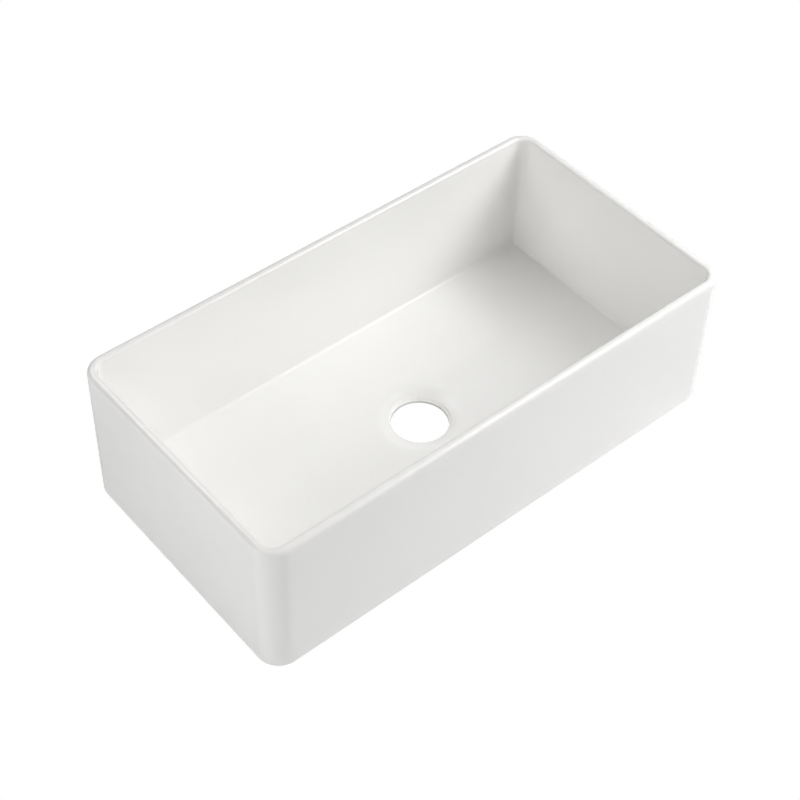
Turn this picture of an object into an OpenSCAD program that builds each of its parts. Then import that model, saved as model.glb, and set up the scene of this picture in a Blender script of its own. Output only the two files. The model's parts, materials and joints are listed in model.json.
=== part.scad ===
// Kitchen sink basin with an apron front: one glazed fireclay casting, open at the top, with a single bowl
// and a round drain hole in a dished seat. Millimetres, +Z up. The origin is the middle of the underside,
// +X runs along the front to the right, and the front faces -Y.

/* [Basin] */
// Length along the front
basin_l = 838; // [600:1:1000]
// Depth from front to back
basin_w = 438; // [360:1:560]
// Height from the underside to the rim
basin_h = 246; // [180:1:300]
// Radius of the upright outside corners
corner_r = 35; // [32:1:60]
// Rounding along the bottom outside edge
foot_round = 3; // [1:0.5:6]

/* [Walls and rim] */
// Thickness of the walls at the rim
wall = 14; // [12.5:0.5:18]
// How much thicker the walls are at the floor
wall_lean = 2; // [0.5:0.5:3]
// Rounding of the outside edge of the rim
rim_round_out = 7.5; // [3:0.5:8.5]
// Rounding of the inside edge of the rim
rim_round_in = 4.5; // [2:0.5:5.5]

/* [Floor] */
// Thickness of the floor where it meets the walls
floor_t = 21; // [19:0.5:30]
// Fillet between the floor and the walls
floor_fillet = 8; // [4:0.5:10]
// Fall of the floor from the walls to the drain
floor_fall = 4; // [2:0.5:5]

/* [Drain] */
// Diameter of the drain hole, for a 3 1/2 inch strainer
drain_d = 89; // [85:0.5:92]
// Place of the drain to the right of the middle
drain_x = 27; // [-100:1:100]
// Place of the drain behind the middle
drain_y = 4; // [-30:1:30]
// Rounding of the lip between the seat and the hole
lip_r = 4.5; // [2:0.5:5]
// Diameter of the level seat around the hole, where the strainer's flange lies
seat_d = 102; // [101:0.5:106]
// Depth of the seat below the floor around it
seat_depth = 5; // [4:0.5:7]
// Radius of the hollow where the seat turns up into the side of the dish
hollow_r = 8; // [4:0.5:9]

/* [Hidden] */
$fn = 96;
// How far a cut runs past the face that it opens
past = 1;
// Upright middles of the corners, shared by the outside and the bowl so that the wall keeps its thickness
core_l = basin_l - 2 * corner_r;
core_w = basin_w - 2 * corner_r;
// Lean of the inside of the walls, and the bowl's corner radius at the rim and at the floor
bowl_corner_r = corner_r - wall;
bowl_floor_r = bowl_corner_r - wall_lean;
lean = atan(wall_lean / (basin_h - floor_t));
// Middle of the fillet's arc at the foot of the wall
fillet_u = bowl_floor_r + floor_fillet * tan(lean) - floor_fillet / cos(lean);
fillet_z = floor_t + floor_fillet;
// Middle of the arc that rounds the rim's inside edge
rim_z = basin_h - rim_round_in;
rim_u = bowl_corner_r - rim_round_in * tan(lean) + rim_round_in / cos(lean);
// Half length and half width of the sloping floor, whose corners stay just inside the fillet
corner_gap = 0.5;
fall_x = core_l / 2 + (fillet_u - corner_gap) * cos(45);
fall_y = core_w / 2 + (fillet_u - corner_gap) * cos(45);
// The dish around the drain: steepest slope of its side, and slope where it runs out into the floor
dish_slope = 32;
dish_runout = 6;
brow_r = (seat_depth - hollow_r * (1 - cos(dish_slope))) / (cos(dish_runout) - cos(dish_slope));
dish_r = seat_d / 2 + hollow_r * sin(dish_slope) + brow_r * (sin(dish_slope) - sin(dish_runout));
dish_z = floor_t - floor_fall * (1 - dish_r / fall_x);
seat_z = dish_z - seat_depth;
drain_r = drain_d / 2;
lip_x = drain_r + lip_r;
lip_z = seat_z - lip_r;

// What a rounded outside corner of radius r loses, with the middle of its arc at the origin.
module corner_loss(r) {
    difference() {
        square(r + past);
        circle(r);
    }
}

// A quarter disc that reaches right and down from its middle.
module hollow_quarter(r) {
    intersection() {
        circle(r);
        translate([0, -r])
            square(r);
    }
}

// A piece of a disc that opens from straight down towards the right by an angle under 90 degrees.
module hollow_arc(r, angle) {
    intersection() {
        circle(r);
        polygon([[0, 0], [0, -2 * r], [2 * r * tan(angle), -2 * r]]);
    }
}

// Section of the outside, from a corner's upright middle line outwards.
module outside_section() {
    difference() {
        square([corner_r, basin_h]);
        translate([corner_r - rim_round_out, basin_h - rim_round_out])
            corner_loss(rim_round_out);
        translate([corner_r - foot_round, foot_round])
            mirror([0, 1])
                corner_loss(foot_round);
    }
}

// Section of the bowl, from a corner's upright middle line outwards.
module bowl_section() {
    difference() {
        union() {
            polygon([
                [0, floor_t],
                [fillet_u, floor_t],
                [fillet_u, fillet_z],
                [fillet_u + floor_fillet * cos(lean), fillet_z - floor_fillet * sin(lean)],
                [rim_u - rim_round_in * cos(lean), rim_z + rim_round_in * sin(lean)],
                [rim_u, rim_z],
                [rim_u, basin_h + past],
                [0, basin_h + past]
            ]);
            translate([fillet_u, fillet_z])
                hollow_quarter(floor_fillet);
        }
        translate([rim_u, rim_z])
            circle(rim_round_in);
    }
}

// A section turned round the four corners and drawn along the four sides, with the middle filled in.
module tray(low, high) {
    for (sx = [-1, 1], sy = [-1, 1])
        translate([sx * core_l / 2, sy * core_w / 2, 0])
            mirror([sx < 0 ? 1 : 0, 0, 0])
                mirror([0, sy < 0 ? 1 : 0, 0])
                    rotate_extrude(angle = 90)
                        children();
    for (side = [0, 180]) {
        rotate([0, 0, side])
            translate([core_l / 2, 0, 0])
                rotate([90, 0, 0])
                    linear_extrude(core_w, center = true)
                        children();
        rotate([0, 0, side])
            translate([0, core_w / 2, 0])
                rotate([90, 0, 90])
                    linear_extrude(core_l, center = true)
                        children();
    }
    translate([-core_l / 2, -core_w / 2, low])
        cube([core_l, core_w, high - low]);
}

// The floor's four slopes, which meet at the drain, under a low block that reaches up into the bowl.
module floor_slopes() {
    corners = [[-fall_x, -fall_y], [fall_x, -fall_y], [fall_x, fall_y], [-fall_x, fall_y]];
    polyhedron(
        points = [
            for (c = corners) [c[0], c[1], floor_t + past],
            for (c = corners) [c[0], c[1], floor_t],
            [drain_x, drain_y, floor_t - floor_fall]
        ],
        faces = [
            [3, 2, 1, 0],
            for (i = [0:3]) [i, (i + 1) % 4, 4 + (i + 1) % 4, 4 + i],
            for (i = [0:3]) [4 + i, 4 + (i + 1) % 4, 8]
        ]
    );
}

// Section of the dish, the seat and the hole, from the drain's own middle line outwards.
module drain_section() {
    seat_r = seat_d / 2;
    turn = [seat_r + hollow_r * sin(dish_slope), seat_z + hollow_r * (1 - cos(dish_slope))];
    brow = [turn[0] + brow_r * sin(dish_slope), turn[1] - brow_r * cos(dish_slope)];
    top = [dish_r, brow[1] + brow_r * cos(dish_runout)];
    runout = (floor_t + past - top[1]) / tan(dish_runout);
    difference() {
        union() {
            translate([0, -past])
                square([drain_r, past + seat_z + past]);
            translate([0, lip_z])
                square([lip_x, lip_r + past]);
            difference() {
                polygon([[0, seat_z], [seat_r, seat_z], turn, brow, top, top + [runout, floor_t + past - top[1]],
                    [0, floor_t + past]]);
                translate(brow)
                    circle(brow_r);
            }
            translate([seat_r, seat_z + hollow_r])
                hollow_arc(hollow_r, dish_slope);
        }
        translate([lip_x, lip_z])
            circle(lip_r);
    }
}

// The whole basin: one casting, glazed all over except its underside.
module sink_body() {
    color([0.95, 0.95, 0.94])
        difference() {
            tray(0, basin_h)
                outside_section();
            tray(floor_t, basin_h + past)
                bowl_section();
            floor_slopes();
            translate([drain_x, drain_y, 0])
                rotate_extrude()
                    drain_section();
        }
}

sink_body();
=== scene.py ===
"""A deep apron-front kitchen sink in white glazed fireclay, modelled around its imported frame."""

import json
import math

import bmesh
import bpy
from bpy.props import FloatProperty, FloatVectorProperty, IntProperty, PointerProperty
from mathutils import Matrix, Vector

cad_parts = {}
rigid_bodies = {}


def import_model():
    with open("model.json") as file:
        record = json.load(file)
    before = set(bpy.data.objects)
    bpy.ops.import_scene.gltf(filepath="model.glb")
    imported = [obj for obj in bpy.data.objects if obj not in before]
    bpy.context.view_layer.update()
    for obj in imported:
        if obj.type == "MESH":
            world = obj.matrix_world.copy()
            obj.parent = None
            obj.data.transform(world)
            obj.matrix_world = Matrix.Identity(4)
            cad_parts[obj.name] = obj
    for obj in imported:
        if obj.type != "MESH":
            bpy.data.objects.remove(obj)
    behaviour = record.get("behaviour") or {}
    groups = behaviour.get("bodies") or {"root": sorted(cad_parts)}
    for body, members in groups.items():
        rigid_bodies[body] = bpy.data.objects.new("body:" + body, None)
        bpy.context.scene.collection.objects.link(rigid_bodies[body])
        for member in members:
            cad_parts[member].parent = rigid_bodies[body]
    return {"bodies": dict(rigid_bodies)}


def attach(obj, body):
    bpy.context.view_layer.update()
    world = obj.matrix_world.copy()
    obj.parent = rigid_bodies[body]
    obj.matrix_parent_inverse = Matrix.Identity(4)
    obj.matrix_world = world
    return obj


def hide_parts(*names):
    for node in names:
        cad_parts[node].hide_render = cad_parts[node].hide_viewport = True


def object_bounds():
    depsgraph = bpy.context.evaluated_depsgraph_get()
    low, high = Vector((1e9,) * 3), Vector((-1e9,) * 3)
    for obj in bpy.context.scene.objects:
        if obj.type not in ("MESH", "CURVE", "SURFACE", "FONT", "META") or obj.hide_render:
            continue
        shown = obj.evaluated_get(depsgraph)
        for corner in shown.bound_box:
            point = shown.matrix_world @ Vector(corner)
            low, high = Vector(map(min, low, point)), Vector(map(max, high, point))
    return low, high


bl_info = {
    "name": "Fireclay Apron Sink",
    "version": (1, 0, 0),
    "blender": (4, 5, 0),
    "location": "View3D > Sidebar > Sink",
    "description": "Models a glazed fireclay kitchen sink and the studio it is shown in",
    "category": "Object",
}

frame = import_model()
cad_low, cad_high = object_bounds()

MM = 0.001
TOUCH = 0.02 * MM  # how near a point lies to a place to count as on it
NEAR = 0.1 * MM  # the same for a rounded outline, which the mesh follows in short straight edges
RIM = cad_high.z
HALF_LENGTH = cad_high.x
HALF_DEPTH = cad_high.y
# Mark of the rim's roundings and the drain's lip, which take a darker colour: partly glaze drawn thin, partly
# painted shade
THIN_GLAZE_AND_SHADE = "thin_glaze_and_shade"

FACING = 0.9  # a face whose normal has more than this share along an axis looks that way
LEVEL = 0.99  # the same for a face that lies level, and not on the rounding beside it
SQUARE_TURN = math.radians(90)
FLOOR_CUTS = 12  # mesh rings between the walls and the dish
UNDERSIDE_CUTS = 4  # mesh rings between the hole and the outside

# Places of the colour sockets on a Mix node, which share their names with sockets of other kinds
MIX_FACTOR = 0
MIX_FIRST = 6
MIX_SECOND = 7
MIX_RESULT = 2

# The camera: its sensor in millimetres, and the shift and size of the picture in pixels
SENSOR_WIDTH = 36
SHIFT_X = -20
SHIFT_Y = -60
PICTURE = 800
CLIP_START = 0.1

# The paper that the sink stands on, and how bright it and the air look in the glaze beside plain white
FLOOR_WIDTH = 14.0
PAPER_ROUGHNESS = 0.9
PAPER_MIRRORED = 0.25
AIR_MIRRORED = 0.4

# How far the finishes stray: roughness of glaze and clay, the tone of the clay, and the depth of the relief
GLOSS_SPREAD = 0.07
MATT_SPREAD = 0.12
CLAY_PALER = 1.08
RIPPLE_DEPTH = 0.06 * MM
PEEL_SHARE = 0.1
SAND_DEPTH = 0.12 * MM
LIP_THINNING_AND_SHADE = 0.8  # how thin the glaze draws on the lip of the drain, where the rim's top is 1; the darker colour there is partly painted shade

# The softboxes round the sink: azimuth and elevation in degrees, and power in watts
FAR_DISTANCE = 3.0
FAR_WIDTH = 1.2
FAR_SOFTBOXES = {
    "left_softbox": (270, 12, 17.9),
    "front_left_softbox": (300, 25, 8.3),
    "front_right_softbox": (30, 25, 10.6),
    "right_softbox": (90, 25, 15.8),
    "front_top_softbox": (30, 38, 8.6),
    "right_front_softbox": (60, 38, 22),
    "right_top_softbox": (60, 50, 18.9),
    "back_softbox": (180, 50, 10.7),
}
NEAR_DISTANCE = 1.3
NEAR_WIDTH = 0.6
NEAR_SOFTBOXES = {
    "left_fill": (270, 30, 1.5),
    "right_top_fill": (60, 55, 2.3),
    "back_left_fill": (210, 55, 1.4),
    "front_left_fill": (300, 55, 1.1),
}
UNDER_POWER = 55  # of the softbox below the paper, which lights the bare underside alone
DRAIN_POWER = 0.0075  # of the small light in the drain hole


def length(name, description, millimetres):
    """A length that a user can change, with its default in millimetres."""
    return FloatProperty(
        name=name, description=description, default=millimetres * MM, unit="LENGTH", precision=4)


def share(name, description, value):
    """A plain number from 0 to 1 that a user can change."""
    return FloatProperty(name=name, description=description, default=value, min=0, max=1, subtype="FACTOR")


def colour(name, description, value):
    """A colour that a user can change."""
    return FloatVectorProperty(
        name=name, description=description, default=value, min=0, max=1, subtype="COLOR")


class SinkSizes(bpy.types.PropertyGroup):
    """Sizes of the basin that the frame's box doesn't give."""

    corner: length("Corner radius", "Radius of the upright outside corners", 35)
    wall: length("Wall", "Thickness of the walls at the rim", 14)
    lean: length("Wall lean", "How much thicker the walls are at the floor", 2)
    rim_outer: length("Outer rim rounding", "Rounding of the rim's outside edge", 7.5)
    rim_inner: length("Inner rim rounding", "Rounding of the rim's inside edge", 4.5)
    foot: length("Foot rounding", "Rounding along the bottom outside edge", 3)
    floor: length("Floor thickness", "Height of the floor where it meets the walls", 21)
    fillet: length("Floor fillet", "Rounding between the floor and the walls", 5)
    floor_corner: length("Floor corner radius", "Radius of the bowl's upright corners down at the floor", 8)
    drain_x: length("Drain across", "Place of the drain to the right of the middle", 27)
    drain_y: length("Drain back", "Place of the drain behind the middle", 4)
    drain: length("Drain hole", "Radius of the drain hole", 44.5)
    seat: length("Strainer seat", "Radius of the ring that the strainer's flange lies on", 51)
    seat_height: length("Seat height", "Height of that ring above the underside", 12.68)
    dish_height: length("Dish height", "Height of the floor at the edge of the dish", 17.65)
    lip: length("Lip rounding", "Rounding of the glazed lip between the dish and the hole", 6)
    brow: length("Brow rounding", "Rounding where the dish's side meets the floor", 35)
    dish_side: FloatProperty(
        name="Dish side", description="Slope of the dish's side", default=math.radians(20), unit="ROTATION")
    mesh_step: length("Mesh step", "Spacing of the mesh lines along the walls", 20)
    corner_steps: IntProperty(
        name="Corner steps", description="Mesh steps round each upright corner", default=12)
    waviness: length("Waviness", "How far the fired walls stray from flat", 0.5)
    wave_size: length("Wave size", "Width of one of those waves", 160)


class SinkFinish(bpy.types.PropertyGroup):
    """Colours and gloss of the glaze and of the bare clay."""

    glaze: colour("Glaze", "Colour of the glaze", (0.94, 0.936, 0.921))
    glaze_pooled: colour("Pooled glaze", "Colour where the glaze ran thicker", (0.948, 0.944, 0.931))
    # Partly painted shade: besides glaze drawn thin, this darker colour stands in for shade on the rim's
    # roundings and the drain's lip
    glaze_thin_and_shade: colour("Thin glaze", "Colour where the glaze drew thin over an edge", (0.88, 0.873, 0.855))
    speck: colour("Kiln speck", "Colour of the few iron specks under the glaze", (0.30, 0.24, 0.18))
    gloss: share("Glaze roughness", "Roughness of the glaze where it is glossiest", 0.11)
    clay: colour("Bare clay", "Colour of the unglazed clay on the underside", (0.70, 0.655, 0.575))
    clay_grog: colour("Grog", "Colour of the darker fired grains in the clay", (0.50, 0.44, 0.36))
    matt: share("Clay roughness", "Roughness of the bare clay", 0.86)


class StudioSettings(bpy.types.PropertyGroup):
    """Camera and light of the studio."""

    azimuth: FloatProperty(
        name="Azimuth", description="Turn of the camera round the sink", default=math.radians(-42.14),
        unit="ROTATION")
    elevation: FloatProperty(
        name="Elevation", description="Height angle of the camera", default=math.radians(45.38),
        unit="ROTATION")
    roll: FloatProperty(
        name="Roll", description="Tilt of the camera about its own line of sight", default=math.radians(2.49),
        unit="ROTATION")
    distance: FloatProperty(
        name="Distance", description="Distance of the camera from its target", default=2.589, unit="LENGTH")
    focal: FloatProperty(
        name="Focal length", description="Focal length of the lens on a 36 mm wide sensor", default=79.29,
        subtype="DISTANCE_CAMERA")
    paper: colour("Floor", "Colour of the pale studio floor", (0.90, 0.90, 0.90))


def edit(piece):
    """Opens a piece in edit mode, with it alone selected."""
    bpy.ops.object.select_all(action="DESELECT")
    piece.select_set(True)
    bpy.context.view_layer.objects.active = piece
    bpy.ops.object.mode_set(mode="EDIT")


def close():
    """Leaves edit mode."""
    bpy.ops.object.mode_set(mode="OBJECT")


def pick_faces(piece, test):
    """Selects the faces that pass a test, and nothing else."""
    bpy.ops.mesh.select_mode(type="FACE")
    bpy.ops.mesh.select_all(action="DESELECT")
    shape = bmesh.from_edit_mesh(piece.data)
    for face in shape.faces:
        if test(face):
            face.select_set(True)
    bmesh.update_edit_mesh(piece.data)


def pick_edges(piece, test):
    """Selects the edges whose two ends both pass a test, and nothing else, and returns how many they are."""
    bpy.ops.mesh.select_mode(type="EDGE")
    bpy.ops.mesh.select_all(action="DESELECT")
    shape = bmesh.from_edit_mesh(piece.data)
    found = [e for e in shape.edges if test(e.verts[0].co) and test(e.verts[1].co)]
    for e in found:
        e.select_set(True)
    bmesh.update_edit_mesh(piece.data)
    return len(found)


def steps(low, high, step):
    """Evenly spaced places from low to high, ends included, about a step apart."""
    count = max(1, round((high - low) / step))
    return [low + (high - low) * i / count for i in range(count + 1)]


def cut_across(places, axis):
    """Cuts the whole mesh open in edit mode by planes square to an axis, at these places."""
    for place in places:
        bpy.ops.mesh.select_all(action="SELECT")
        bpy.ops.mesh.bisect(plane_co=axis * place, plane_no=axis)


def outline_gap(point, half_x, half_y, radius):
    """Distance of a point, seen from above, from a rectangle with rounded corners."""
    x = abs(point.x) - half_x + radius
    y = abs(point.y) - half_y + radius
    return abs(math.hypot(max(x, 0), max(y, 0)) + min(max(x, y), 0) - radius)


def ring_gap(point, centre, radius):
    """Distance of a point, seen from above, from a circle."""
    return abs((point.xy - centre.xy).length - radius)


def at_height(z, height):
    """True if a height is the one named."""
    return abs(z - height) < TOUCH


def round_block(sizes):
    """The solid block of the basin's outside, with rounded upright corners and mesh lines along its sides."""
    bpy.ops.object.select_all(action="DESELECT")
    bpy.ops.mesh.primitive_cube_add(
        size=1, location=(0, 0, RIM / 2), scale=(2 * HALF_LENGTH, 2 * HALF_DEPTH, RIM))
    block = bpy.context.object
    bpy.ops.object.transform_apply(location=True, rotation=True, scale=True)
    edit(block)
    bpy.ops.mesh.select_mode(type="EDGE")
    bpy.ops.mesh.select_all(action="DESELECT")
    shape = bmesh.from_edit_mesh(block.data)
    for e in shape.edges:
        if abs(e.verts[0].co.z - e.verts[1].co.z) > RIM / 2:
            e.select_set(True)
    bmesh.update_edit_mesh(block.data)
    bpy.ops.mesh.bevel(offset=sizes.corner, segments=sizes.corner_steps, affect="EDGES")
    straight_x = HALF_LENGTH - sizes.corner
    straight_y = HALF_DEPTH - sizes.corner
    cut_across(steps(-straight_x, straight_x, sizes.mesh_step)[1:-1], Vector((1, 0, 0)))
    cut_across(steps(-straight_y, straight_y, sizes.mesh_step)[1:-1], Vector((0, 1, 0)))
    return block


def tighten_corners(piece, sizes):
    """Draws the bowl's four corners in to a smaller radius at the floor, each towards its sharp corner."""
    bowl_corner = sizes.corner - sizes.wall
    narrow = sizes.floor_corner / bowl_corner
    reach_x = HALF_LENGTH - sizes.wall - sizes.lean
    reach_y = HALF_DEPTH - sizes.wall - sizes.lean
    for side_x in (-1, 1):
        for side_y in (-1, 1):
            pick_edges(piece, lambda p: at_height(p.z, sizes.floor)
                       and p.x * side_x > reach_x - bowl_corner - NEAR
                       and p.y * side_y > reach_y - bowl_corner - NEAR)
            bpy.ops.transform.resize(
                value=(narrow, narrow, 1), center_override=(side_x * reach_x, side_y * reach_y, sizes.floor))


def sink_bowl(piece, sizes):
    """Sinks the bowl into the block: the rim is inset, and the face inside it is pushed down to the floor."""
    pick_faces(piece, lambda face: face.normal.z > FACING)
    bpy.ops.mesh.inset(thickness=sizes.wall, use_even_offset=True)
    bpy.ops.mesh.extrude_region_move(TRANSFORM_OT_translate={"value": (0, 0, sizes.floor - RIM)})
    narrow_x = 1 - sizes.lean / (HALF_LENGTH - sizes.wall)
    narrow_y = 1 - sizes.lean / (HALF_DEPTH - sizes.wall)
    bpy.ops.transform.resize(value=(narrow_x, narrow_y, 1), center_override=(0, 0, sizes.floor))
    bpy.ops.mesh.delete(type="FACE")
    tighten_corners(piece, sizes)
    pick_faces(piece, lambda face: face.normal.z < -FACING)
    bpy.ops.mesh.delete(type="FACE")
    lowest = sizes.floor + sizes.fillet
    highest = RIM - sizes.rim_outer
    cut_across(steps(lowest, highest, sizes.mesh_step), Vector((0, 0, 1)))


def lay_floor(piece, sizes):
    """Fills the floor and the underside round the drain, with its dish and its hole."""
    centre = Vector((sizes.drain_x, sizes.drain_y, 0))
    slope = math.tan(sizes.dish_side)
    hole_edge = sizes.seat_height - (sizes.seat - sizes.drain) * slope
    dish = sizes.drain + (sizes.dish_height - hole_edge) / slope
    around = pick_edges(piece, lambda p: at_height(p.z, sizes.floor))
    bpy.ops.mesh.primitive_circle_add(
        vertices=around, radius=dish, location=(centre.x, centre.y, sizes.dish_height))
    pick_edges(piece, lambda p: at_height(p.z, sizes.floor) or at_height(p.z, sizes.dish_height))
    bpy.ops.mesh.bridge_edge_loops(number_cuts=FLOOR_CUTS, interpolation="LINEAR")
    rings = [
        (dish, sizes.dish_height),
        (sizes.drain, hole_edge),
        (sizes.drain, 0),
    ]
    pick_edges(piece, lambda p: at_height(p.z, sizes.dish_height))
    for (radius, height), (next_radius, next_height) in zip(rings, rings[1:]):
        bpy.ops.mesh.extrude_region_move(TRANSFORM_OT_translate={"value": (0, 0, next_height - height)})
        scale = next_radius / radius
        bpy.ops.transform.resize(value=(scale, scale, 1), center_override=(centre.x, centre.y, next_height))
    pick_edges(piece, lambda p: at_height(p.z, 0))
    bpy.ops.mesh.bridge_edge_loops(number_cuts=UNDERSIDE_CUTS, interpolation="LINEAR")
    return centre, rings


def bevel(piece, test, radius, turn, segments):
    """Rounds the edges that pass a test to a radius, where the faces beside them turn by an angle."""
    pick_edges(piece, test)
    bpy.ops.mesh.bevel(
        offset=radius * math.tan(turn / 2), segments=segments, affect="EDGES", clamp_overlap=False)


def round_edges(piece, sizes, centre, rings):
    """Rounds every edge of the casting: the drain's first, then the floor's, the rim's and the foot's."""
    dish, hole = rings[:2]
    bevel(piece, lambda p: ring_gap(p, centre, hole[0]) < TOUCH and at_height(p.z, hole[1]),
          sizes.lip, SQUARE_TURN - sizes.dish_side, segments=10)
    bevel(piece, lambda p: ring_gap(p, centre, dish[0]) < TOUCH and at_height(p.z, dish[1]),
          sizes.brow, sizes.dish_side, segments=8)
    bevel(piece, lambda p: at_height(p.z, sizes.floor), sizes.fillet, SQUARE_TURN, segments=6)
    bevel(piece, lambda p: at_height(p.z, RIM) and
          outline_gap(p, HALF_LENGTH - sizes.wall, HALF_DEPTH - sizes.wall, sizes.corner - sizes.wall) < NEAR,
          sizes.rim_inner, SQUARE_TURN, segments=8)
    bevel(piece, lambda p: at_height(p.z, RIM) and
          outline_gap(p, HALF_LENGTH, HALF_DEPTH, sizes.corner) < NEAR,
          sizes.rim_outer, SQUARE_TURN, segments=10)
    bevel(piece, lambda p: at_height(p.z, 0) and
          outline_gap(p, HALF_LENGTH, HALF_DEPTH, sizes.corner) < NEAR,
          sizes.foot, SQUARE_TURN, segments=4)


def warp_in_kiln(piece, sizes):
    """Gives the walls the slight waviness of fired clay, and sets the underside flat again."""
    waves = bpy.data.textures.new("Kiln waves", "CLOUDS")
    waves.noise_scale = sizes.wave_size
    waves.noise_depth = 1
    bpy.ops.object.modifier_add(type="DISPLACE")
    warp = piece.modifiers[-1]
    warp.texture = waves
    warp.texture_coords = "LOCAL"
    warp.mid_level = 1
    warp.strength = sizes.waviness
    bpy.ops.object.modifier_apply(modifier=warp.name)
    edit(piece)
    pick_faces(piece, lambda face: face.normal.z < -LEVEL and face.calc_center_median().z < sizes.waviness)
    bpy.ops.transform.resize(value=(1, 1, 0), center_override=(0, 0, 0))
    close()


def smooth(piece):
    """Shades a piece smooth, with the flat faces keeping their own normals beside the roundings."""
    bpy.ops.object.shade_smooth()
    bpy.ops.object.modifier_add(type="WEIGHTED_NORMAL")
    flatten = piece.modifiers[-1]
    flatten.keep_sharp = False
    bpy.ops.object.modifier_apply(modifier=flatten.name)


def add(tree, kind, at, **settings):
    """A new shader node at a place in the node editor, with its settings."""
    made = tree.nodes.new("ShaderNode" + kind)
    made.location = at
    for name, value in settings.items():
        setattr(made, name, value)
    return made


def feed(tree, socket, value):
    """Gives an input a link from another socket, or a plain value."""
    if isinstance(value, bpy.types.NodeSocket):
        tree.links.new(value, socket)
    else:
        socket.default_value = value


def sum_up(tree, operation, at, first, second):
    """A Math node's result."""
    made = add(tree, "Math", at, operation=operation)
    feed(tree, made.inputs[0], first)
    feed(tree, made.inputs[1], second)
    return made.outputs["Value"]


def blend(tree, at, factor, first, second):
    """A mix of two colours by a factor."""
    made = add(tree, "Mix", at, data_type="RGBA", clamp_factor=True)
    feed(tree, made.inputs[MIX_FACTOR], factor)
    feed(tree, made.inputs[MIX_FIRST], first)
    feed(tree, made.inputs[MIX_SECOND], second)
    return made.outputs[MIX_RESULT]


def ramp(tree, at, value, low, high, to_low=0.0, to_high=1.0):
    """A value that goes smoothly from to_low to to_high while another goes from low to high."""
    made = add(tree, "MapRange", at, interpolation_type="SMOOTHSTEP")
    names = ("Value", "From Min", "From Max", "To Min", "To Max")
    for name, part in zip(names, (value, low, high, to_low, to_high)):
        feed(tree, made.inputs[name], part)
    return made.outputs["Result"]


def effect_group(name, inputs, outputs):
    """An empty shader node group with its named inputs and outputs, and the nodes that stand for them."""
    tree = bpy.data.node_groups.new(name, "ShaderNodeTree")
    for label, default in inputs.items():
        socket = tree.interface.new_socket(label, in_out="INPUT", socket_type="NodeSocketFloat")
        socket.default_value = default
    for label in outputs:
        tree.interface.new_socket(label, in_out="OUTPUT", socket_type="NodeSocketFloat")
    given = tree.nodes.new("NodeGroupInput")
    given.location = (-800, 0)
    result = tree.nodes.new("NodeGroupOutput")
    result.location = (600, 0)
    return tree, given.outputs, result.inputs


def mottle_group():
    """Soft clouds, such as uneven glaze, ripples or grain: Per Metre sets how fine they are."""
    tree, given, result = effect_group(
        "Mottle", {"Per Metre": 20, "Detail": 2, "Spread": 0.25}, ["Value"])
    place = add(tree, "TexCoord", (-600, 200))
    noise = add(tree, "TexNoise", (-300, 100))
    feed(tree, noise.inputs["Vector"], place.outputs["Object"])
    feed(tree, noise.inputs["Scale"], given["Per Metre"])
    feed(tree, noise.inputs["Detail"], given["Detail"])
    middle = 0.5
    low = sum_up(tree, "SUBTRACT", (-300, -200), middle, given["Spread"])
    high = sum_up(tree, "ADD", (-300, -400), middle, given["Spread"])
    feed(tree, result["Value"], ramp(tree, (100, 0), noise.outputs["Fac"], low, high))
    return tree


def speck_group():
    """Scattered round specks: Per Metre sets the cells they lie in, Share how many cells have one."""
    tree, given, result = effect_group(
        "Specks", {"Per Metre": 50, "Radius": 0.03, "Share": 0.3}, ["Mask"])
    place = add(tree, "TexCoord", (-600, 200))
    cells = add(tree, "TexVoronoi", (-300, 100))
    feed(tree, cells.inputs["Vector"], place.outputs["Object"])
    feed(tree, cells.inputs["Scale"], given["Per Metre"])
    tone = add(tree, "SeparateColor", (-100, 200))
    feed(tree, tone.inputs["Color"], cells.outputs["Color"])
    chosen = sum_up(tree, "LESS_THAN", (100, 200), tone.outputs["Red"], given["Share"])
    full_tone = 0.55  # of the radius, inside which a speck has its whole colour
    core = sum_up(tree, "MULTIPLY", (-100, -200), given["Radius"], full_tone)
    dot = ramp(tree, (100, 0), cells.outputs["Distance"], given["Radius"], core)
    feed(tree, result["Mask"], sum_up(tree, "MULTIPLY", (350, 0), chosen, dot))
    return tree


def place_effect(tree, group, at, **inputs):
    """An effect placed in a material with its own values, and its one output."""
    made = add(tree, "Group", at, node_tree=bpy.data.node_groups[group])
    for name, value in inputs.items():
        made.inputs[name.replace("_", " ")].default_value = value
    return made.outputs[0]


def new_material(name):
    """A material with its node tree and its Principled shader."""
    made = bpy.data.materials.new(name)
    made.use_nodes = True
    return made, made.node_tree, made.node_tree.nodes["Principled BSDF"]


def relief(tree, shader, height, depth, at):
    """Bumps a shader by a height whose full range is a depth in metres."""
    bump = add(tree, "Bump", at)
    bump.inputs["Strength"].default_value = 1
    bump.inputs["Distance"].default_value = depth
    feed(tree, bump.inputs["Height"], height)
    feed(tree, shader.inputs["Normal"], bump.outputs["Normal"])


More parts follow.
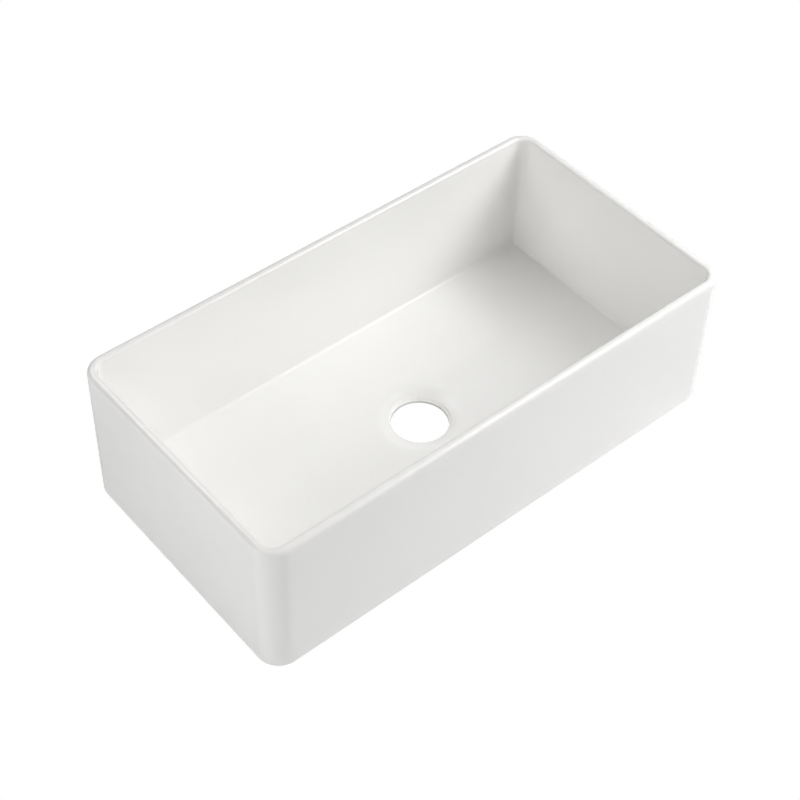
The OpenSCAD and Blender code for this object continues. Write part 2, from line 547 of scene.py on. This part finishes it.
def glaze_material(finish):
    """Glossy white glaze: it pools and thins a little, ripples softly and hides a few iron specks. Where it
    thins, on the rim and the drain's lip, its darker colour is partly painted shade.
    """
    made, tree, shader = new_material("White glaze")
    pooled = place_effect(tree, "Mottle", (-1100, 500), Per_Metre=9, Detail=3, Spread=0.2)
    body = blend(tree, (-800, 500), pooled, (*finish.glaze, 1), (*finish.glaze_pooled, 1))
    # The mark of thin glaze and painted shade on the rim's roundings and the drain's lip
    edge = add(tree, "Attribute", (-1100, 250), attribute_name=THIN_GLAZE_AND_SHADE).outputs["Fac"]
    patches = place_effect(tree, "Mottle", (-1100, 50), Per_Metre=45, Detail=3, Spread=0.3)
    least = 0.5  # of the thinning and painted shade, in the patches where the glaze stayed thickest
    thin = sum_up(tree, "MULTIPLY", (-800, 250), edge, ramp(tree, (-950, 50), patches, 0, 1, least, 1))
    # Darkens the rim and the lip: partly thin glaze, partly painted shade
    body = blend(tree, (-550, 500), thin, body, (*finish.glaze_thin_and_shade, 1))
    specks = place_effect(tree, "Specks", (-800, 50), Per_Metre=45, Radius=0.03, Share=0.05)
    feed(tree, shader.inputs["Base Color"], blend(tree, (-300, 500), specks, body, (*finish.speck, 1)))
    cloud = place_effect(tree, "Mottle", (-800, -150), Per_Metre=28, Detail=4, Spread=0.25)
    dullest = finish.gloss + GLOSS_SPREAD
    feed(tree, shader.inputs["Roughness"], ramp(tree, (-550, -150), cloud, 0, 1, finish.gloss, dullest))
    swell = place_effect(tree, "Mottle", (-800, -400), Per_Metre=22, Detail=1, Spread=0.35)
    peel = place_effect(tree, "Mottle", (-800, -600), Per_Metre=130, Detail=1, Spread=0.4)
    fine = sum_up(tree, "MULTIPLY", (-550, -600), peel, PEEL_SHARE)
    relief(tree, shader, sum_up(tree, "ADD", (-400, -400), swell, fine), RIPPLE_DEPTH, (-250, -400))
    return made


def clay_material(finish):
    """Bare fired clay: matt, sandy, with darker grains of grog."""
    made, tree, shader = new_material("Bare fireclay")
    tone = place_effect(tree, "Mottle", (-1100, 500), Per_Metre=14, Detail=5, Spread=0.25)
    pale = tuple(c * CLAY_PALER for c in finish.clay)
    body = blend(tree, (-800, 500), tone, (*finish.clay, 1), (*pale, 1))
    grog = place_effect(tree, "Specks", (-1100, 250), Per_Metre=420, Radius=0.35, Share=0.4)
    feed(tree, shader.inputs["Base Color"], blend(tree, (-300, 500), grog, body, (*finish.clay_grog, 1)))
    wiped = place_effect(tree, "Mottle", (-800, -150), Per_Metre=35, Detail=4, Spread=0.25)
    smoothest = finish.matt - MATT_SPREAD
    feed(tree, shader.inputs["Roughness"], ramp(tree, (-550, -150), wiped, 0, 1, smoothest, finish.matt))
    sand = place_effect(tree, "Mottle", (-800, -400), Per_Metre=900, Detail=3, Spread=0.3)
    relief(tree, shader, sand, SAND_DEPTH, (-250, -400))
    return made


def mark_thin_glaze_and_shade(piece, sizes):
    """Marks where glaze draws thin in the kiln and where shade is painted: along the rim's two roundings and
    the lip of the drain.
    """
    drain = Vector((sizes.drain_x, sizes.drain_y, 0))
    reach = sizes.rim_outer
    lip_top = sizes.seat_height + sizes.waviness
    marks = piece.data.attributes.new(THIN_GLAZE_AND_SHADE, "FLOAT", "POINT")
    for vertex, mark in zip(piece.data.vertices, marks.data):
        below_rim = RIM - vertex.co.z
        from_drain = (vertex.co.xy - drain.xy).length
        on_lip = vertex.co.z < lip_top and from_drain < sizes.seat
        # Painted shade besides thin glaze: strongest at the rim's top, fading to nothing a rounding's depth
        # below it, and a set share on the drain's lip
        mark.value = max(0, 1 - below_rim / reach, LIP_THINNING_AND_SHADE if on_lip else 0)


def dress(piece, finish):
    """Gives the casting its glaze, and bare clay to the underside that it stood on in the kiln."""
    mottle_group()
    speck_group()
    piece.data.materials.clear()
    piece.data.materials.append(glaze_material(finish))
    piece.data.materials.append(clay_material(finish))
    for face in piece.data.polygons:
        if face.normal.z < -LEVEL and face.center.z < TOUCH:
            face.material_index = 1


class SINK_OT_basin(bpy.types.Operator):
    """Model the basin, one fireclay casting, and give it its glaze"""

    bl_idname = "sink.basin"
    bl_label = "Basin"

    def execute(self, context):
        sizes = context.scene.sink_sizes
        basin = round_block(sizes)
        basin.name = basin.data.name = "fireclay_basin"
        sink_bowl(basin, sizes)
        centre, rings = lay_floor(basin, sizes)
        round_edges(basin, sizes, centre, rings)
        bpy.ops.mesh.select_all(action="SELECT")
        bpy.ops.mesh.remove_doubles(threshold=TOUCH)
        bpy.ops.mesh.normals_make_consistent(inside=False)
        close()
        warp_in_kiln(basin, sizes)
        smooth(basin)
        mark_thin_glaze_and_shade(basin, sizes)
        dress(basin, context.scene.sink_finish)
        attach(basin, next(iter(frame["bodies"])))
        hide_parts("sink_body")
        return {"FINISHED"}


def soft_light(name, azimuth, elevation, distance, width, power):
    """A square softbox that looks at the sink from an azimuth and elevation in degrees."""
    turn, lift = math.radians(azimuth), math.radians(elevation)
    away = Vector((math.sin(turn) * math.cos(lift), -math.cos(turn) * math.cos(lift), math.sin(lift)))
    place = Vector((0, 0, RIM / 2)) + away * distance
    bpy.ops.object.light_add(type="AREA", location=place, rotation=away.to_track_quat("Z", "Y").to_euler())
    light = bpy.context.object
    light.name = light.data.name = name
    light.data.size = width
    light.data.energy = power
    light.visible_camera = False


def drain_light(sizes):
    """A round light on the floor under the drain, which brightens the hole's wall and isn't seen itself."""
    gap = 1 * MM
    place = (sizes.drain_x, sizes.drain_y, gap)
    bpy.ops.object.light_add(type="AREA", location=place, rotation=(2 * SQUARE_TURN, 0, 0))
    light = bpy.context.object
    light.name = light.data.name = "drain_light"
    light.data.shape = "DISK"
    light.data.size = 2 * (sizes.drain - gap)
    light.data.energy = DRAIN_POWER
    light.visible_camera = False
    light.visible_glossy = False


def white_to_the_eye(tree, lit, mirrored):
    """Shows a surface or the world as plain white, or dimmer in a mirror, and lights the sink as lit does."""
    nodes, links = tree.nodes, tree.links
    on_surface = "Principled BSDF" in nodes
    output = nodes.new("ShaderNodeOutputMaterial" if on_surface else "ShaderNodeOutputWorld")
    white = nodes.new("ShaderNodeEmission" if on_surface else "ShaderNodeBackground")
    white.inputs["Color"].default_value = (1, 1, 1, 1)
    eye = nodes.new("ShaderNodeLightPath")
    mix = nodes.new("ShaderNodeMixShader")
    glow = sum_up(tree, "MULTIPLY", (-400, 600), eye.outputs["Is Glossy Ray"], mirrored)
    links.new(sum_up(tree, "ADD", (-200, 600), eye.outputs["Is Camera Ray"], glow), mix.inputs["Fac"])
    links.new(lit.outputs[0], mix.inputs[1])
    links.new(white.outputs[0], mix.inputs[2])
    for old in [n for n in nodes if n.type in ("OUTPUT_MATERIAL", "OUTPUT_WORLD") and n != output]:
        nodes.remove(old)
    links.new(mix.outputs["Shader"], output.inputs["Surface"])


class SINK_OT_stage(bpy.types.Operator):
    """Set up the studio: the pale floor, the soft lights and the camera"""

    bl_idname = "sink.stage"
    bl_label = "Studio"

    def execute(self, context):
        studio = context.scene.sink_studio
        # The paper lies a hair above the underside, so the two don't flicker through each other
        bpy.ops.mesh.primitive_plane_add(size=FLOOR_WIDTH, location=(0, 0, NEAR))
        floor = context.object
        floor.name = "studio_floor"
        paper = bpy.data.materials.new("Studio paper")
        paper.use_nodes = True
        shader = paper.node_tree.nodes["Principled BSDF"]
        shader.inputs["Base Color"].default_value = (*studio.paper, 1)
        shader.inputs["Roughness"].default_value = PAPER_ROUGHNESS
        white_to_the_eye(paper.node_tree, shader, PAPER_MIRRORED)
        floor.data.materials.append(paper)
        world = bpy.data.worlds.new("Studio air")
        world.use_nodes = True
        dark = world.node_tree.nodes["Background"]
        dark.inputs["Color"].default_value = (0, 0, 0, 1)
        white_to_the_eye(world.node_tree, dark, AIR_MIRRORED)
        context.scene.world = world
        for name, (azimuth, elevation, power) in FAR_SOFTBOXES.items():
            soft_light(name, azimuth, elevation, FAR_DISTANCE, FAR_WIDTH, power)
        for name, (azimuth, elevation, power) in NEAR_SOFTBOXES.items():
            soft_light(name, azimuth, elevation, NEAR_DISTANCE, NEAR_WIDTH, power)
        soft_light("under_softbox", 0, -90, FAR_DISTANCE, FAR_WIDTH, UNDER_POWER)
        drain_light(context.scene.sink_sizes)
        place_camera(context, studio)
        context.scene.view_settings.view_transform = "Standard"
        return {"FINISHED"}


def place_camera(context, studio):
    """Puts the camera at the angle and distance from which the sink is shown."""
    turn = (
        Matrix.Rotation(studio.azimuth, 4, "Z")
        @ Matrix.Rotation(SQUARE_TURN - studio.elevation, 4, "X")
        @ Matrix.Rotation(studio.roll, 4, "Z")
    )
    # The target lies a little right of the sink's middle and above it, as the picture is seen
    aside = 14.5 * MM
    above = 56.4 * MM
    target = Vector((0, 0, RIM / 2)) + turn.to_3x3() @ Vector((aside, above, 0))
    bpy.ops.object.camera_add()
    camera = context.object
    camera.name = "studio_camera"
    camera.matrix_world = Matrix.Translation(target + turn.to_3x3() @ Vector((0, 0, studio.distance))) @ turn
    camera.data.lens = studio.focal
    camera.data.sensor_width = SENSOR_WIDTH
    camera.data.shift_x = SHIFT_X / PICTURE
    camera.data.shift_y = SHIFT_Y / PICTURE
    camera.data.clip_start = CLIP_START
    context.scene.camera = camera


class SINK_PT_panel(bpy.types.Panel):
    """The sink's operators and settings in the 3D view's sidebar"""

    bl_idname = "SINK_PT_panel"
    bl_label = "Fireclay sink"
    bl_space_type = "VIEW_3D"
    bl_region_type = "UI"
    bl_category = "Sink"

    def draw(self, context):
        for operator in OPERATORS:
            self.layout.operator(operator.bl_idname)
        for group in (context.scene.sink_sizes, context.scene.sink_finish, context.scene.sink_studio):
            box = self.layout.box()
            for name in group.__annotations__:
                box.prop(group, name)


OPERATORS = (SINK_OT_basin, SINK_OT_stage)
CLASSES = (SinkSizes, SinkFinish, StudioSettings, *OPERATORS, SINK_PT_panel)


def register():
    for made in CLASSES:
        bpy.utils.register_class(made)
    bpy.types.Scene.sink_sizes = PointerProperty(type=SinkSizes)
    bpy.types.Scene.sink_finish = PointerProperty(type=SinkFinish)
    bpy.types.Scene.sink_studio = PointerProperty(type=StudioSettings)


def unregister():
    del bpy.types.Scene.sink_studio
    del bpy.types.Scene.sink_finish
    del bpy.types.Scene.sink_sizes
    for made in reversed(CLASSES):
        bpy.utils.unregister_class(made)


def main():
    register()
    bpy.ops.sink.basin()
    bpy.ops.sink.stage()


if __name__ == "__main__":
    main()
